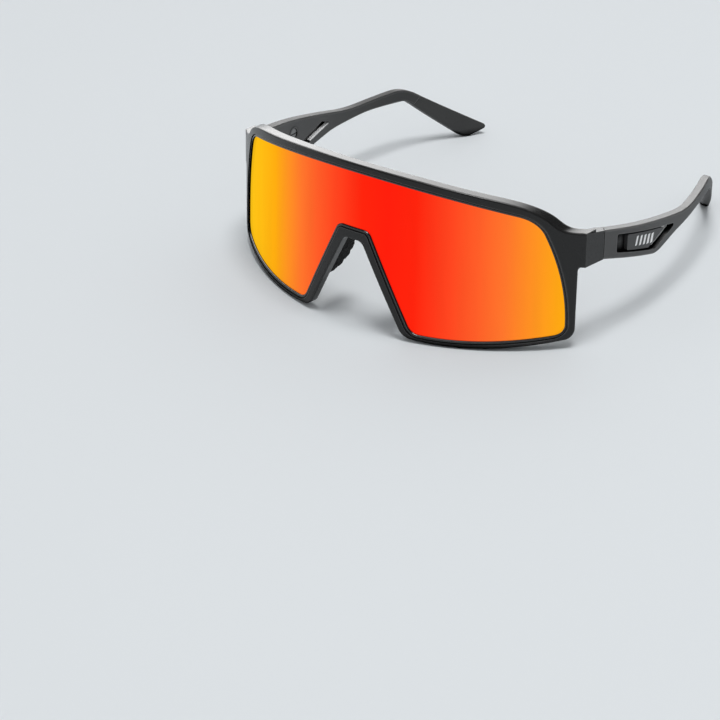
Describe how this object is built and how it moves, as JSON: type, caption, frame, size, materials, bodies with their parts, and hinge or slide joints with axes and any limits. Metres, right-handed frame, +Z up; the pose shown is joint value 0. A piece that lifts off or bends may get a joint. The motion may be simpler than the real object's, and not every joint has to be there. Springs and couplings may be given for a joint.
{
  "type": "sport sunglasses",
  "caption": "Wraparound shield sunglasses: full-rim black front around one mirror lens, rubber nose pads and folding temples with inset badge plates and rubber ear grips.",
  "frame": {"origin": "middle of the footprint on the table, with the temples open", "axes": "+X towards the wearer's left, +Y from the lens back to the ear tips, +Z up from the table"},
  "size_m": [0.1484, 0.1342, 0.0568],
  "materials": {
    "frame_plastic": "satin black moulded nylon",
    "mirror_lens": "red to amber mirror coating on polycarbonate",
    "pad_rubber": "matte soft-touch",
    "grip_rubber": "satin soft-touch",
    "badge": "finely ribbed",
    "screw_steel": "turned"
  },
  "bodies": {
    "front": {"front_frame": "frame_plastic", "shield_lens": "mirror_lens", "nose_pad_left": "pad_rubber", "nose_pad_right": "pad_rubber", "hinge_screw_left": "screw_steel", "hinge_screw_right": "screw_steel"},
    "left_temple": {"temple_arm_left": "frame_plastic", "badge_plate_left": "badge", "badge_screw_left": "screw_steel", "ear_grip_left": "grip_rubber"},
    "right_temple": {"temple_arm_right": "frame_plastic", "badge_plate_right": "badge", "badge_screw_right": "screw_steel", "ear_grip_right": "grip_rubber"}
  },
  "joints": [
    {"name": "left_temple_fold", "type": "hinge", "parent": "front", "child": "left_temple", "pos_m": [0.0686, -0.02664, 0.03119], "axis": [0, 0.1248, 0.9922], "range_deg": [0, 90]},
    {"name": "right_temple_fold", "type": "hinge", "parent": "front", "child": "right_temple", "pos_m": [-0.0686, -0.02664, 0.03119], "axis": [0, -0.1248, -0.9922], "range_deg": [0, 80]}
  ]
}
